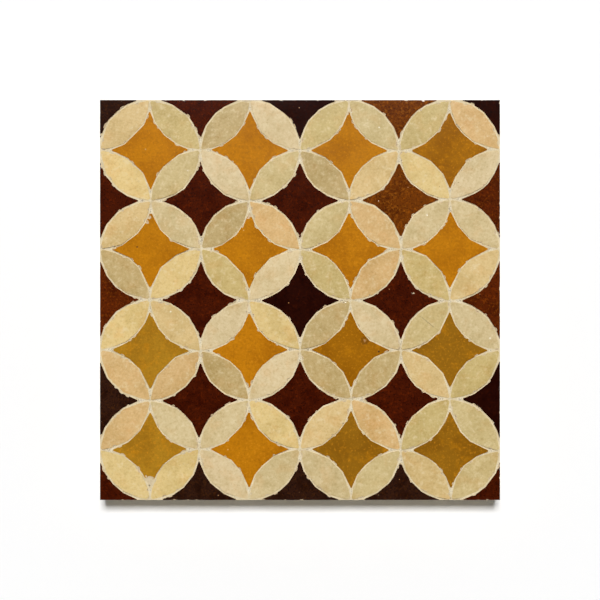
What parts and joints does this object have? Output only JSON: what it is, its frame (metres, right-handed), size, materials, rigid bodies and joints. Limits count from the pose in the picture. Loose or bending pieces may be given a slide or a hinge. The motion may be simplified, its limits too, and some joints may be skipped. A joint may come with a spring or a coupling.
{
  "type": "mosaic tile",
  "caption": "Square mosaic tile of hand-cut glazed clay stars and petals in overlapping circles, cast into a mortar bed, for cladding floors and walls.",
  "frame": {"origin": "centre of the flat back face, which the tile lies on", "axes": "+Z out of the glazed face, +Y towards the top of the pattern, +X towards its right"},
  "size_m": [0.2, 0.2, 0.02],
  "materials": {
    "amber_glazed_clay": "glossy translucent amber glaze over fired clay",
    "cream_glazed_clay": "glossy cream glaze over fired clay",
    "brown_glazed_clay": "glossy dark red-brown glaze over fired clay",
    "pale_mortar": "matt cast cement mortar, cream-white"
  },
  "bodies": {
    "root": {"amber_star_r1c1": "amber_glazed_clay", "amber_star_r1c2": "amber_glazed_clay", "amber_star_r1c3": "amber_glazed_clay", "amber_star_r1c4": "amber_glazed_clay", "amber_star_r2c1": "amber_glazed_clay", "amber_star_r2c2": "amber_glazed_clay", "amber_star_r2c3": "amber_glazed_clay", "amber_star_r2c4": "amber_glazed_clay", "amber_star_r3c1": "amber_glazed_clay", "amber_star_r3c2": "amber_glazed_clay", "amber_star_r3c3": "amber_glazed_clay", "amber_star_r3c4": "amber_glazed_clay", "amber_star_r4c1": "amber_glazed_clay", "amber_star_r4c2": "amber_glazed_clay", "amber_star_r4c3": "amber_glazed_clay", "amber_star_r4c4": "amber_glazed_clay", "petals_r1c1": "cream_glazed_clay", "petals_r1c2": "cream_glazed_clay", "petals_r1c3": "cream_glazed_clay", "petals_r1c4": "cream_glazed_clay", "petals_r2c1": "cream_glazed_clay", "petals_r2c2": "cream_glazed_clay", "petals_r2c3": "cream_glazed_clay", "petals_r2c4": "cream_glazed_clay", "petals_r3c1": "cream_glazed_clay", "petals_r3c2": "cream_glazed_clay", "petals_r3c3": "cream_glazed_clay", "petals_r3c4": "cream_glazed_clay", "petals_r4c1": "cream_glazed_clay", "petals_r4c2": "cream_glazed_clay", "petals_r4c3": "cream_glazed_clay", "petals_r4c4": "cream_glazed_clay", "brown_star_r1c1": "brown_glazed_clay", "brown_star_r1c2": "brown_glazed_clay", "brown_star_r1c3": "brown_glazed_clay", "brown_star_r2c1": "brown_glazed_clay", "brown_star_r2c2": "brown_glazed_clay", "brown_star_r2c3": "brown_glazed_clay", "brown_star_r3c1": "brown_glazed_clay", "brown_star_r3c2": "brown_glazed_clay", "brown_star_r3c3": "brown_glazed_clay", "brown_half_star_top_1": "brown_glazed_clay", "brown_half_star_top_2": "brown_glazed_clay", "brown_half_star_top_3": "brown_glazed_clay", "brown_half_star_bottom_1": "brown_glazed_clay", "brown_half_star_bottom_2": "brown_glazed_clay", "brown_half_star_bottom_3": "brown_glazed_clay", "brown_half_star_left_1": "brown_glazed_clay", "brown_half_star_left_2": "brown_glazed_clay", "brown_half_star_left_3": "brown_glazed_clay", "brown_half_star_right_1": "brown_glazed_clay", "brown_half_star_right_2": "brown_glazed_clay", "brown_half_star_right_3": "brown_glazed_clay", "brown_quarter_star_top_left": "brown_glazed_clay", "brown_quarter_star_top_right": "brown_glazed_clay", "brown_quarter_star_bottom_left": "brown_glazed_clay", "brown_quarter_star_bottom_right": "brown_glazed_clay", "mortar_bed": "pale_mortar"}
  },
  "joints": []
}
